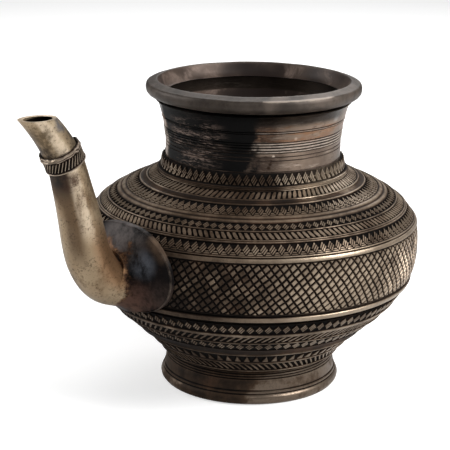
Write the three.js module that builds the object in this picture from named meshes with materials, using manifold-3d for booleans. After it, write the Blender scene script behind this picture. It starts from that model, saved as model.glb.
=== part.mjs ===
// A holy water pot: a squat round vessel on a ring foot, with a tall neck and a curved pouring spout.
// Millimetres, +Z up. The pot stands on its foot and the spout points towards -X.
import Module from 'manifold-3d';
import * as THREE from 'three';
import { mergeVertices } from 'three/addons/utils/BufferGeometryUtils.js';

const wasm = await Module();
wasm.setup();

// Driving dimensions of the turned body, from the ground up.
const FOOT_HEIGHT = 16.4;
const FOOT_BASE_RADIUS = 39;
const FOOT_SWELL = 2;
const FOOT_BAND_HEIGHT = 5.2;
const FOOT_WALL = 2.4;
const WAIST_RADIUS = 37;
const BOWL_RISE = 49.3;
const BOWL_FOOT_RADIUS = 37.6;
const BELLY_RADIUS = 75.4;
const SHOULDER_RISE = 33;
const COLLAR_RADIUS = 41.8;
const COLLAR_RISE = 6.5;
const COLLAR_FLARE = 1.2;
const NECK_RADIUS = 39.2;
const NECK_RISE = 34.2;
const NECK_FLARE = 2.1;
const RIM_RADIUS = 48.1;
const RIM_MOUTH_RADIUS = 42.8;
const RIM_DEPTH = 6.6;
const RIM_SKIRT_HEIGHT = 5.4;
const RIM_SKIRT_WALL = 0.8;

// Walls, seams and mouldings.
const BODY_WALL = 2.2;
const NECK_WALL = 2;
const SEAM = 0.3;
const RIDGE_RISE = 0.6;
const RIDGE_BEVEL = 0.3;
const SEAM_LIP_HEIGHT = 2;
const SEAM_LIP_WALL = 1.2;
const NECK_SOCKET_DEPTH = 4.7;
const DISH_DEPTH = 2.8;
const DISH_SPIGOT = 1.5;
const BELLY_SEAM_DROP = 17.2;
const SHOULDER_SEAM_RISE = 13;
const SEAM_RIDGE_WIDTH = 2.8;

// Driving dimensions of the spout.
const SPOUT_ROOT_RADIUS = 10.5;
const SPOUT_NECK_RADIUS = 7.6;
const SPOUT_MOUTH_RADIUS = 5.9;
const SPOUT_WALL = 1.5;
const SPOUT_HOLE_RADIUS = 7;
const SPOUT_MOUTH_LEVEL = 70;
const SPOUT_OVERRUN = 7.6;
const SPOUT_RING_SPAN = 7.8;
const SPOUT_RING_WALL = 0.9;
const SPOUT_RING_CREST = 0.25;
const FLANGE_HALF_WIDTH = 30.5;
const FLANGE_HALF_HEIGHT = 19;
const FLANGE_WALL = 1.4;
const FLANGE_SLEEVE_WALL = 0.9;
const FLANGE_FLARE = 3;
const FLANGE_FLARE_LENGTH = 10;
const FLANGE_SQUARENESS = 2.2;

// The line of the spout's middle, as [out, up] from the widest point of the belly.
const SPOUT_LINE = [
  [-9, -8],
  [-0.9, -6.3],
  [6.1, -4.1],
  [11.8, 0.5],
  [16.6, 9.6],
  [20, 23.9],
  [23.6, 38.1],
  [27.5, 50.9],
  [33.8, 61.8],
  [41.9, 71.7],
  [48.4, 77.6],
];
const SPOUT_FLANGE_END = 0.16;
const SPOUT_TUBE_END = 0.711;

// How finely the round shapes are drawn.
const ROUND_SIDES = 44;
const TUBE_SIDES = 18;

// Levels that follow from the rises above.
const WAIST_LEVEL = FOOT_HEIGHT + SEAM;
const BELLY_LEVEL = WAIST_LEVEL + BOWL_RISE;
const SHOULDER_LEVEL = BELLY_LEVEL + SHOULDER_RISE;
const COLLAR_LEVEL = SHOULDER_LEVEL + COLLAR_RISE;
const NECK_SEAT_LEVEL = COLLAR_LEVEL - NECK_SOCKET_DEPTH;
const RIM_LEVEL = SHOULDER_LEVEL + NECK_RISE;
const BELLY_SEAM_LEVEL = BELLY_LEVEL - BELLY_SEAM_DROP;
const SHOULDER_SEAM_LEVEL = BELLY_LEVEL + SHOULDER_SEAM_RISE;

const metal = (color, roughness) => new THREE.MeshStandardMaterial({ color, roughness, metalness: 0.85 });
const darkBrass = metal(0x3f362d, 0.5);
const sootyBrass = metal(0x2a2623, 0.55);
const wornBrass = metal(0x8f7d64, 0.35);

// One closed skin: shared corners, no empty triangles, faces pointing out.
function closeSkin(geometry) {
  const bare = geometry.clone();
  bare.deleteAttribute('normal');
  bare.deleteAttribute('uv');
  const merged = mergeVertices(bare, 1e-4);
  const corners = merged.index.array;
  const place = merged.attributes.position;
  const kept = [];
  let volume = 0;
  for (let i = 0; i < corners.length; i += 3) {
    const [a, b, c] = [corners[i], corners[i + 1], corners[i + 2]];
    if (a === b || b === c || c === a) continue;
    kept.push(a, b, c);
    const [p, q, r] = [a, b, c].map((n) => new THREE.Vector3().fromBufferAttribute(place, n));
    volume += p.dot(q.cross(r));
  }
  if (volume < 0) kept.reverse();
  merged.setIndex(kept);
  return merged;
}

function toSolid(geometry) {
  const skin = closeSkin(geometry);
  return new wasm.Manifold(new wasm.Mesh({
    numProp: 3,
    vertProperties: new Float32Array(skin.attributes.position.array),
    triVerts: new Uint32Array(skin.index.array),
  }));
}

function toGeometry(solid) {
  const mesh = solid.getMesh();
  const geometry = new THREE.BufferGeometry();
  geometry.setAttribute('position', new THREE.BufferAttribute(mesh.vertProperties, 3));
  geometry.setIndex(Array.from(mesh.triVerts));
  return geometry;
}

// A profile of [radius, level] pairs, turned round the pot's upright axis.
function turn(profile) {
  const points = profile.map(([radius, level]) => new THREE.Vector2(radius, level));
  return closeSkin(new THREE.LatheGeometry(points, ROUND_SIDES).rotateX(Math.PI / 2));
}

function closeLoop(profile) {
  return [...profile, profile[0]];
}

// The body's outer curve: a flat-topped shoulder above the widest level, a fuller bowl below it.
function bodyRadius(level) {
  if (level >= BELLY_LEVEL) {
    const share = Math.min(1, (level - BELLY_LEVEL) / SHOULDER_RISE);
    return COLLAR_RADIUS + (BELLY_RADIUS - COLLAR_RADIUS) * (1 - share ** 3.2) ** 1.35;
  }
  const share = Math.min(1, (BELLY_LEVEL - level) / BOWL_RISE);
  return BOWL_FOOT_RADIUS + (BELLY_RADIUS - BOWL_FOOT_RADIUS) * (1 - share ** 2.3) ** 1.26;
}

function bodySlope(level) {
  const step = 0.05;
  return (bodyRadius(level + step) - bodyRadius(level - step)) / (2 * step);
}

// The same curve moved square to itself; a positive shift moves it outwards.
function shiftedBody(level, shift) {
  const slope = bodySlope(level);
  const length = Math.hypot(1, slope);
  return [bodyRadius(level) + shift / length, level - (shift * slope) / length];
}

// Radius of the inside of the body's wall at a level.
function innerRadius(level) {
  return bodyRadius(level) - BODY_WALL * Math.hypot(1, bodySlope(level));
}

function levelsBetween(from, to, count) {
  return Array.from({ length: count + 1 }, (_, i) => from + ((to - from) * i) / count);
}

// Outer curve between two levels, with a bevelled ridge, or a channel where the rise is negative, on each band.
function mouldedCurve(from, to, count, bands) {
  const points = levelsBetween(from, to, count)
    .filter((level) => !bands.some(([low, high]) => level > low - 1 && level < high + 1))
    .map((level) => [bodyRadius(level), level]);
  for (const [low, high, rise] of bands) {
    const bevel = Math.min(RIDGE_BEVEL, (high - low) / 4);
    points.push([bodyRadius(low), low], [bodyRadius(low + bevel) + rise, low + bevel]);
    points.push([bodyRadius(high - bevel) + rise, high - bevel], [bodyRadius(high), high]);
  }
  return points.sort((a, b) => a[1] - b[1]);
}

const shoulderBand = (low, high, rise) => [
  BELLY_LEVEL + low * SHOULDER_RISE,
  BELLY_LEVEL + high * SHOULDER_RISE,
  rise,
];
const bowlBand = (low, high, rise) => [
  BELLY_LEVEL - low * BOWL_RISE,
  BELLY_LEVEL - high * BOWL_RISE,
  rise,
];

// Foot ring: a thick band on the ground, a groove over it and a hollow curve up to the waist.
function makeFootRing() {
  const bandTop = FOOT_BAND_HEIGHT;
  const outer = [
    [FOOT_BASE_RADIUS - 0.6, 0],
    [FOOT_BASE_RADIUS + 0.8, 0.7],
    [FOOT_BASE_RADIUS + FOOT_SWELL, bandTop * 0.55],
    [FOOT_BASE_RADIUS + FOOT_SWELL * 0.8, bandTop],
    [FOOT_BASE_RADIUS + FOOT_SWELL * 0.4, bandTop + 0.5],
    [FOOT_BASE_RADIUS + FOOT_SWELL * 0.6, bandTop + 1],
  ];
  const curveFrom = bandTop + 1;
  for (const level of levelsBetween(curveFrom, FOOT_HEIGHT - 2.4, 4).slice(1)) {
    const share = (level - curveFrom) / (FOOT_HEIGHT - curveFrom);
    const start = FOOT_BASE_RADIUS + FOOT_SWELL * 0.6;
    outer.push([start + (WAIST_RADIUS - 0.4 - start) * share ** 1.1, level]);
  }
  const beadRadius = WAIST_RADIUS + RIDGE_RISE;
  outer.push([beadRadius, FOOT_HEIGHT - 1.8], [beadRadius, FOOT_HEIGHT - 0.5], [WAIST_RADIUS, FOOT_HEIGHT]);
  const innerTop = WAIST_RADIUS - FOOT_WALL;
  const innerBase = FOOT_BASE_RADIUS - FOOT_WALL;
  return turn(closeLoop([...outer, [innerTop, FOOT_HEIGHT], [innerBase, bandTop], [innerBase, 0]]));
}

// The lapped seam at a level: the lower piece's edge, then a lip that stands inside the piece above.
function seamLip(level) {
  const top = level - SEAM / 2;
  const lipTop = top + SEAM_LIP_HEIGHT;
  const foot = innerRadius(level) - SEAM;
  const head = Math.min(foot, innerRadius(lipTop) - SEAM * 1.5);
  return [[foot, top], [head, lipTop], [head - SEAM_LIP_WALL, lipTop]];
}

// Lower bowl: its dished bottom drops inside the foot ring, and its top lip stands inside the belly band.
function makeLowerBowl() {
  const spigot = WAIST_RADIUS - FOOT_WALL - SEAM;
  const top = BELLY_SEAM_LEVEL - SEAM / 2;
  const outer = mouldedCurve(WAIST_LEVEL, top, 6, [
    bowlBand(0.8, 0.728, -RIDGE_RISE),
    bowlBand(0.639, 0.61, RIDGE_RISE),
    bowlBand(0.512, 0.472, RIDGE_RISE),
  ]);
  const inner = levelsBetween(top - 1, WAIST_LEVEL + 1.5, 5).map((level) => shiftedBody(level, -BODY_WALL));
  const floor = WAIST_LEVEL + BODY_WALL - 0.6 - DISH_DEPTH;
  return turn([
    [0, WAIST_LEVEL - DISH_DEPTH],
    [spigot * 0.7, WAIST_LEVEL - DISH_DEPTH * 0.9],
    [spigot, WAIST_LEVEL - DISH_SPIGOT],
    [spigot, WAIST_LEVEL],
    ...outer,
    ...seamLip(BELLY_SEAM_LEVEL),
    ...inner,
    [spigot * 0.7, floor + 0.8],
    [0, floor],
  ]);
}

// Belly band: the widest part of the pot, between the two bright ridges that mark its seams.
function makeBellyBand() {
  const bottom = BELLY_SEAM_LEVEL + SEAM / 2;
  const top = SHOULDER_SEAM_LEVEL - SEAM / 2;
  const outer = mouldedCurve(bottom, top, 5, [
    [bottom + 0.5, bottom + 0.5 + SEAM_RIDGE_WIDTH, RIDGE_RISE],
    [top - 0.1 - SEAM_RIDGE_WIDTH, top - 0.1, RIDGE_RISE],
  ]);
  const inner = levelsBetween(top - 2, bottom + 4, 3).map((level) => shiftedBody(level, -BODY_WALL));
  inner.push([innerRadius(BELLY_SEAM_LEVEL), bottom]);
  return turn(closeLoop([...outer, ...seamLip(SHOULDER_SEAM_LEVEL), ...inner]));
}

// Shoulder: from the belly band up to the collar, where a socket takes the neck.
function makeShoulder() {
  const bottom = SHOULDER_SEAM_LEVEL + SEAM / 2;
  const socket = NECK_RADIUS + SEAM;
  const throat = NECK_RADIUS - NECK_WALL;
  const outer = mouldedCurve(bottom, SHOULDER_LEVEL - 0.6, 7, [
    shoulderBand(0.548, 0.592, RIDGE_RISE * 0.8),
    shoulderBand(0.739, 0.797, RIDGE_RISE * 0.8),
    shoulderBand(0.885, 0.915, RIDGE_RISE * 0.8),
  ]);
  const collar = [
    [COLLAR_RADIUS + COLLAR_FLARE, SHOULDER_LEVEL],
    [COLLAR_RADIUS + COLLAR_FLARE, SHOULDER_LEVEL + 0.9],
    [COLLAR_RADIUS, SHOULDER_LEVEL + 1.3],
    [COLLAR_RADIUS, COLLAR_LEVEL],
    [socket, COLLAR_LEVEL],
    [socket, NECK_SEAT_LEVEL],
    [throat, NECK_SEAT_LEVEL],
  ];
  const shares = [0.93, 0.86, 0.7, 0.5];
  const inner = shares.map((share) => shiftedBody(BELLY_LEVEL + share * SHOULDER_RISE, -BODY_WALL));
  inner.push([innerRadius(SHOULDER_SEAM_LEVEL + SEAM_LIP_HEIGHT), bottom + SEAM_LIP_HEIGHT]);
  inner.push([innerRadius(SHOULDER_SEAM_LEVEL), bottom]);
  return turn(closeLoop([...outer, ...collar, ...inner]));
}

// Neck: a turned tube with one raised fillet, flaring a little under the rim.
const NECK_TOP = RIM_LEVEL - SEAM;
function neckRadius(level) {
  const share = Math.max(0, (level - COLLAR_LEVEL - 8) / (NECK_TOP - COLLAR_LEVEL - 8));
  return NECK_RADIUS + NECK_FLARE * share ** 1.5;
}
function makeNeckTube() {
  const bottom = NECK_SEAT_LEVEL + SEAM;
  const skirtFoot = RIM_LEVEL - RIM_SKIRT_HEIGHT;
  const underSkirt = neckRadius(skirtFoot) - SEAM;
  const filletLow = COLLAR_LEVEL + 10.7;
  const filletHigh = filletLow + 2.4;
  const outer = [[NECK_RADIUS, bottom], [NECK_RADIUS, COLLAR_LEVEL + 6]];
  outer.push([neckRadius(filletLow), filletLow], [neckRadius(filletLow) + 0.4, filletLow + 0.4]);
  outer.push([neckRadius(filletHigh) + 0.4, filletHigh - 0.4], [neckRadius(filletHigh), filletHigh]);
  outer.push([neckRadius(skirtFoot - 3), skirtFoot - 3], [underSkirt, skirtFoot - SEAM], [underSkirt, NECK_TOP]);
  const inner = [NECK_TOP, skirtFoot, filletHigh, COLLAR_LEVEL + 6, bottom];
  return turn(closeLoop([...outer, ...inner.map((level) => [Math.min(neckRadius(level), underSkirt) - NECK_WALL, level])]));
}

// Rim: a heavy ring over the neck's end, with a thin skirt that laps down round the neck.
function makeRimRing() {
  const skirtFoot = RIM_LEVEL - RIM_SKIRT_HEIGHT;
  const socket = neckRadius(skirtFoot);
  const throat = neckRadius(skirtFoot) - SEAM - NECK_WALL;
  const top = RIM_LEVEL + RIM_DEPTH - 0.4;
  return turn(closeLoop([
    [socket, skirtFoot],
    [socket + RIM_SKIRT_WALL, skirtFoot],
    [socket + RIM_SKIRT_WALL + 0.5, RIM_LEVEL - 2],
    [RIM_RADIUS - 3, RIM_LEVEL - 0.6],
    [RIM_RADIUS - 0.9, RIM_LEVEL + 0.4],
    [RIM_RADIUS, RIM_LEVEL + 2],
    [RIM_RADIUS, RIM_LEVEL + 3.4],
    [RIM_RADIUS - 0.9, RIM_LEVEL + 4.7],
    [RIM_MOUTH_RADIUS + 1.6, top],
    [RIM_MOUTH_RADIUS + 0.4, top],
    [RIM_MOUTH_RADIUS, top - 0.5],
    [throat + 1.2, RIM_LEVEL + 2.4],
    [throat, RIM_LEVEL],
    [socket, RIM_LEVEL],
  ]));
}

// The spout's middle line lies in the upright plane through the pot's axis.
// Above the belly's widest level the line stretches with the mouth's level, and ends a little past it.
const lineStretch = (SPOUT_MOUTH_LEVEL + SPOUT_OVERRUN) / SPOUT_LINE.at(-1)[1];
const spoutLine = new THREE.CatmullRomCurve3(
  SPOUT_LINE.map(([out, up]) => {
    const rise = up > 0 ? up * lineStretch : up;
    return new THREE.Vector3(-(BELLY_RADIUS + out), 0, BELLY_LEVEL + rise);
  }),
);
spoutLine.arcLengthDivisions = 400;

// Outer radius of the tube: one taper up to the ring, and a gentler one on to the mouth.
function spoutRadius(share) {
  if (share < SPOUT_TUBE_END) {
    const along = Math.max(0, share - SPOUT_FLANGE_END) / (SPOUT_TUBE_END - SPOUT_FLANGE_END);
    return SPOUT_ROOT_RADIUS + (SPOUT_NECK_RADIUS - SPOUT_ROOT_RADIUS) * along;
  }
  const along = (share - SPOUT_TUBE_END) / (1 - SPOUT_TUBE_END);
  return SPOUT_NECK_RADIUS + (SPOUT_MOUTH_RADIUS - SPOUT_NECK_RADIUS) * along;
}

// A solid swept along the spout's line between two shares of its length, round, with the given radius.
function sweep(from, to, steps, radiusAt, sides = TUBE_SIDES) {
  const corners = [];
  const triangles = [];
  for (const share of levelsBetween(from, to, steps)) {
    const middle = spoutLine.getPointAt(share);
    const ahead = spoutLine.getTangentAt(share);
    const across = new THREE.Vector3(ahead.z, 0, -ahead.x);
    const radius = radiusAt(share);
    for (let side = 0; side < sides; side += 1) {
      const angle = (2 * Math.PI * side) / sides;
      const out = radius * Math.cos(angle);
      corners.push(middle.x + across.x * out, radius * Math.sin(angle), middle.z + across.z * out);
    }
  }
  for (let step = 0; step < steps; step += 1) {
    for (let side = 0; side < sides; side += 1) {
      const next = (side + 1) % sides;
      const [a, b] = [step * sides + side, step * sides + next];
      triangles.push(a, b, a + sides, b, b + sides, a + sides);
    }
  }
  const last = steps * sides;
  for (let side = 1; side < sides - 1; side += 1) {
    triangles.push(0, side + 1, side, last, last + side, last + side + 1);
  }
  const geometry = new THREE.BufferGeometry();
  geometry.setAttribute('position', new THREE.Float32BufferAttribute(corners, 3));
  geometry.setIndex(triangles);
  return toSolid(geometry);
}

const lineLength = spoutLine.getLength();

// The tube's root is turned down to a spigot, so that the flange's sleeve lies flush with the tube.
const spigotRadius = SPOUT_ROOT_RADIUS - FLANGE_SLEEVE_WALL - SEAM;
const rootClearance = sweep(0, SPOUT_FLANGE_END + 0.03, 5, () => spigotRadius + SEAM);

// What the saddle-cut pieces clear: the belly filled in, out to its ridges and one seam more.
const SADDLE_MIDDLE = BELLY_LEVEL;
const SADDLE_REACH = FLANGE_HALF_HEIGHT + 4;
const saddleLevels = levelsBetween(SADDLE_MIDDLE - SADDLE_REACH, SADDLE_MIDDLE + SADDLE_REACH, 12);
const saddleUnder = saddleLevels.map((level) => [bodyRadius(level) + RIDGE_RISE + SEAM, level]);
const saddlePlug = toSolid(turn([
  [0, saddleLevels[0]],
  ...saddleUnder,
  [0, saddleLevels[saddleLevels.length - 1]],
]));

// Spout tube: a saddle-cut spigot in the flange's sleeve, then round the elbow and up to the ring.
function makeSpoutTube() {
  const outer = sweep(SPOUT_FLANGE_END, SPOUT_TUBE_END, 12, spoutRadius);
  const spigot = sweep(0, SPOUT_FLANGE_END + 0.02, 4, () => spigotRadius);
  const bore = sweep(0, SPOUT_TUBE_END + 0.02, 14, (share) => {
    const outside = share < SPOUT_FLANGE_END ? spigotRadius : spoutRadius(share);
    return outside - SPOUT_WALL;
  });
  return toGeometry(outer.add(spigot).subtract(bore).subtract(saddlePlug));
}

// Spout tip: the narrower end above the ring, cut level at the mouth.
function makeSpoutTip() {
  const start = SPOUT_TUBE_END + SEAM / lineLength;
  const outer = sweep(start, 1, 8, spoutRadius);
  const bore = sweep(start - 0.02, 1, 8, (share) => spoutRadius(share) - SPOUT_WALL);
  const end = spoutLine.getPointAt(1);
  const blockSize = 60;
  const level = BELLY_LEVEL + SPOUT_MOUTH_LEVEL;
  const block = new THREE.BoxGeometry(blockSize, blockSize, blockSize);
  block.translate(end.x, 0, level + blockSize / 2);
  return toGeometry(outer.subtract(bore).subtract(toSolid(block)));
}

// Spout ring: a ferrule over the joint of tube and tip, with a thin lower edge and a thick upper one.
function makeSpoutRing() {
  const half = SPOUT_RING_SPAN / 2 / lineLength;
  const [from, to] = [SPOUT_TUBE_END - half, SPOUT_TUBE_END + half];
  const outer = sweep(from, to, 8, (share) => {
    const along = (share - from) / (to - from);
    const crest = along < 0.2 || along > 0.7 ? SPOUT_RING_CREST : 0.05;
    const edge = along < 0.06 || along > 0.94 ? -0.2 : 0;
    return SPOUT_NECK_RADIUS + SEAM + SPOUT_RING_WALL + crest + edge;
  });
  const hole = sweep(from - 0.02, to + 0.02, 6, (share) => spoutRadius(share) + SEAM);
  return toGeometry(outer.subtract(hole));
}

// Spout flange: a saddle plate shaped to the belly, flaring up into a sleeve round the tube's root.
function makeSpoutFlange() {
  const thickness = RIDGE_RISE + SEAM + FLANGE_WALL;
  const over = saddleLevels.map((level) => shiftedBody(level, thickness)).reverse();
  const saddle = toSolid(turn(closeLoop([...saddleUnder, ...over])));
  const outline = new THREE.Shape();
  const points = Array.from({ length: 40 }, (_, i) => {
    const angle = (2 * Math.PI * i) / 40;
    const rounded = (value) => Math.sign(value) * Math.abs(value) ** (2 / FLANGE_SQUARENESS);
    const across = FLANGE_HALF_WIDTH * rounded(Math.cos(angle));
    return new THREE.Vector2(across, FLANGE_HALF_HEIGHT * rounded(Math.sin(angle)));
  });
  outline.setFromPoints(points);
  const block = new THREE.ExtrudeGeometry(outline, { depth: BELLY_RADIUS, bevelEnabled: false });
  block.rotateX(Math.PI / 2).rotateZ(-Math.PI / 2).translate(-BELLY_RADIUS * 0.4, 0, SADDLE_MIDDLE);
  const outlineBlock = toSolid(block);
  const flareEnd = SPOUT_FLANGE_END - SEAM / lineLength;
  const flareStart = 0.02;
  const flare = sweep(flareStart, flareEnd, 9, (share) => {
    const left = ((flareEnd - share) * lineLength) / FLANGE_FLARE_LENGTH;
    return SPOUT_ROOT_RADIUS + FLANGE_FLARE * Math.min(1, left) ** 2;
  });
  const root = flare.subtract(saddlePlug).intersect(outlineBlock);
  return toGeometry(saddle.intersect(outlineBlock).add(root).subtract(rootClearance));
}

const pot = new THREE.Group();
function addPiece(name, geometry, material) {
  const mesh = new THREE.Mesh(geometry, material.clone());
  mesh.name = name;
  pot.add(mesh);
}

addPiece('foot_ring', makeFootRing(), darkBrass);
addPiece('lower_bowl', makeLowerBowl(), darkBrass);
const wallHole = sweep(0, SPOUT_FLANGE_END * 0.75, 5, () => SPOUT_HOLE_RADIUS);
addPiece('belly_band', toGeometry(toSolid(makeBellyBand()).subtract(wallHole)), darkBrass);
addPiece('shoulder', makeShoulder(), darkBrass);
addPiece('neck_tube', makeNeckTube(), sootyBrass);
addPiece('rim_ring', makeRimRing(), sootyBrass);
addPiece('spout_flange', makeSpoutFlange(), sootyBrass);
addPiece('spout_tube', makeSpoutTube(), wornBrass);
addPiece('spout_ring', makeSpoutRing(), wornBrass);
addPiece('spout_tip', makeSpoutTip(), wornBrass);

// The frame's origin is on the ground under the middle of the whole pot, spout included.
const box = new THREE.Box3().setFromObject(pot);
const centre = box.getCenter(new THREE.Vector3());
pot.position.set(-centre.x, -centre.y, -box.min.z);

export default pot;
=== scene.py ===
# A holy water pot of cast and turned brass, dressed for its photograph.
import math
import bmesh
import bpy
from mathutils import Matrix, Vector, noise


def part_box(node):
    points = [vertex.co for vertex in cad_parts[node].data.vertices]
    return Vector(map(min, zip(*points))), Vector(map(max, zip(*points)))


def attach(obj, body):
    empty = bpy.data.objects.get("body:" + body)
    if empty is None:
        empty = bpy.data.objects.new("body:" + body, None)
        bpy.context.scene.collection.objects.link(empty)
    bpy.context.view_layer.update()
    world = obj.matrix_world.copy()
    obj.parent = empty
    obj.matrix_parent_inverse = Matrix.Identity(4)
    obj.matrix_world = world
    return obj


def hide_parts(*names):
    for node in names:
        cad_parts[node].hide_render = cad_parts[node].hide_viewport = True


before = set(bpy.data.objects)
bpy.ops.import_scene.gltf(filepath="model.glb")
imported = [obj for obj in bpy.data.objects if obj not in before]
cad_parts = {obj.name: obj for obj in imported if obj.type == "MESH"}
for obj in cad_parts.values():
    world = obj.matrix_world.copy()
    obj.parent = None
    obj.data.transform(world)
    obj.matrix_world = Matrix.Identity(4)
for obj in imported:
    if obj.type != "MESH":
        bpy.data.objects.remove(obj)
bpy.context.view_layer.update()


# Foot ring: a thick flared band of turned brass that the pot stands on.
# It is cast, turned on a lathe with fine lines and soldered to the bowl.
# The patina is brown, rubbed bare at the edge.
MM = 0.001
POT_AXIS_X = (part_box("foot_ring")[0][0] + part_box("foot_ring")[1][0]) / 2
TURN_STEPS = 192
VIEW_START = 138.0  # turn of the photograph's left about the pot's axis, in degrees
SHARP_ANGLE = 32.0


class Socket:
    """One output in a material, with Python's operators for its maths."""

    def __init__(self, paint, link):
        self.paint = paint
        self.link = link

    def maths(self, operation, *others):
        settings = {"operation": operation}
        return self.paint.node("ShaderNodeMath", settings, dict(enumerate((self, *others))))

    def __add__(self, other):
        return self.maths("ADD", other)

    __radd__ = __add__

    def __mul__(self, other):
        return self.maths("MULTIPLY", other)

    __rmul__ = __mul__

    def __sub__(self, other):
        return self.maths("SUBTRACT", other)

    def __rsub__(self, other):
        return self.paint.node("ShaderNodeMath", {"operation": "SUBTRACT"}, {0: other, 1: self})

    def __pow__(self, other):
        return self.maths("POWER", other)

    def step(self, low, high):
        """0 below low, 1 above high, smooth between."""
        settings = {"interpolation_type": "SMOOTHSTEP"}
        inputs = {"Value": self, "From Min": low, "From Max": high}
        return self.paint.node("ShaderNodeMapRange", settings, inputs)


class Paint:
    """A material under construction: its nodes are added one call at a time."""

    def __init__(self, name):
        self.material = bpy.data.materials.new(name)
        self.material.use_nodes = True
        self.tree = self.material.node_tree
        self.shader = self.tree.nodes["Principled BSDF"]

    def node(self, kind, settings=None, inputs=None, output=0):
        made = self.tree.nodes.new(kind)
        for key, value in (settings or {}).items():
            setattr(made, key, value)
        for key, value in (inputs or {}).items():
            self.feed(made.inputs[key], value)
        return Socket(self, made.outputs[output])

    def feed(self, socket, value):
        if isinstance(value, Socket):
            self.tree.links.new(value.link, socket)
        elif isinstance(value, tuple) and len(value) == 3 and socket.type == "RGBA":
            socket.default_value = (*value, 1.0)
        else:
            socket.default_value = value

    def set(self, **sockets):
        for key, value in sockets.items():
            self.feed(self.shader.inputs[key.replace("_", " ")], value)

    def place(self):
        return self.node("ShaderNodeTexCoord", output="Object")

    def speckle(self, place, scale, detail=4.0, rough=0.6, twist=0.0):
        inputs = {"Vector": place, "Scale": scale, "Detail": detail, "Roughness": rough, "Distortion": twist}
        return self.node("ShaderNodeTexNoise", {}, inputs)

    def blend(self, share, low, high):
        settings = {"data_type": "RGBA"}
        inputs = {0: share, 6: low, 7: high}
        return self.node("ShaderNodeMix", settings, inputs, output=2)

    def part(self, place, axis):
        return self.node("ShaderNodeSeparateXYZ", {}, {0: place}, output=axis)

    def turn(self, place):
        """Degrees round the pot's axis: 0 at the photograph's left, 90 towards the viewer."""
        x, y = self.part(place, "X") - POT_AXIS_X, self.part(place, "Y")
        start = math.radians(VIEW_START)
        along = x * math.cos(start) + y * math.sin(start)
        toward_viewer = y * math.cos(start) - x * math.sin(start)
        return toward_viewer.maths("ARCTAN2", along) * math.degrees(1.0)

    def reach(self, place):
        """Distance from the pot's axis, in millimetres."""
        x, y = self.part(place, "X") - POT_AXIS_X, self.part(place, "Y")
        return (x * x + y * y) ** 0.5 * 1000.0

    def window(self, value, low, high, soft):
        """1 from low to high, 0 outside, with soft ends."""
        return value.step(low - soft, low + soft) * (1.0 - value.step(high - soft, high + soft))

    def near(self, place, spot, reach, soft):
        """1 at a spot given in metres, 0 past its reach."""
        settings = {"operation": "DISTANCE"}
        gap = self.node("ShaderNodeVectorMath", settings, {0: place, 1: spot}, output="Value")
        return 1.0 - gap.step(reach - soft, reach + soft)

    def bump(self, height, strength=0.35, distance=0.0003):
        return self.node("ShaderNodeBump", {}, {"Strength": strength, "Distance": distance, "Height": height})

    def attribute(self, name):
        return self.node("ShaderNodeAttribute", {"attribute_name": name}, output="Fac")


# Colours of old brass, as they show under soft light.
# Near black, used for soot and black cuts, and also for painted shade under the rim.
SOOT_AND_SHADE = (0.0022, 0.002, 0.0019)
UMBER = (0.0095, 0.006, 0.0042)
BROWN_BRASS = (0.044, 0.027, 0.0165)
RUSSET = (0.07, 0.034, 0.019)
WORN_BRASS = (0.255, 0.19, 0.136)
BARE_BRASS = (0.36, 0.285, 0.21)


def toward(turn_degrees, radius, level):
    """A place on the pot by its turn from the photograph's left towards the viewer, in metres."""
    angle = math.radians(VIEW_START + turn_degrees)
    return (POT_AXIS_X + radius * MM * math.cos(angle), radius * MM * math.sin(angle), level * MM)


def patina(name, worn=WORN_BRASS, bare=BARE_BRASS, wear_from=0.55, wear_to=1.25, rubbed=(), turn_darkening=0.35,
           mottle=1.0, darker_turns=(-5.0, 88.0, 38.0)):
    """Old brass: black in its cuts, worn on its raised edges, blotched all over.
    Each rubbed spot (place, reach, strength) is cleaner, and over the turns darker_turns (from, to, soft) the
    brass is less worn and darker, by turn_darkening."""
    paint = Paint(name)
    place = paint.place()
    broad = paint.speckle(place, 24.0, 3.0)
    blotch = paint.speckle(place, 120.0, 5.0, 0.65)
    grain = paint.speckle(place, 1000.0, 3.0, 0.7)
    wear = paint.attribute("wear")
    share = wear + ((broad - 0.5) * 1.1 + (blotch - 0.5) * 1.0) * mottle
    # Less worn and darker over a span of turns round the pot.
    share = share - paint.window(paint.turn(place), *darker_turns) * turn_darkening
    for spot, reach, strength in rubbed:
        share = share + paint.near(place, spot, reach, reach * 0.45) * (blotch + 0.5) * strength
    worn_mask = share.step(wear_from, wear_to)
    ground = paint.blend(share.step(-0.1, 0.75), UMBER, BROWN_BRASS)
    ground = paint.blend((broad * 0.6 + blotch * 0.6).step(0.6, 0.82) * 0.7, ground, RUSSET)
    bright = paint.blend((share + grain * 0.3).step(0.95, 1.4), worn, bare)
    colour = paint.blend(worn_mask, ground, bright)
    colour = paint.blend(grain.step(0.45, 0.75) * 0.3, colour, UMBER)
    cut = 1.0 - wear.step(0.0, 0.3)
    colour = paint.blend(cut * 0.8, colour, SOOT_AND_SHADE)
    shine = worn_mask * -0.25 + grain * 0.16 + cut * 0.3 + 0.53
    normal = paint.bump(grain * 0.35 + blotch * 0.65, distance=0.0004)
    paint.set(Base_Color=colour, Roughness=shine, Metallic=worn_mask * 0.75, Normal=normal,
              Specular_IOR_Level=0.09)
    return paint.material


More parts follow.
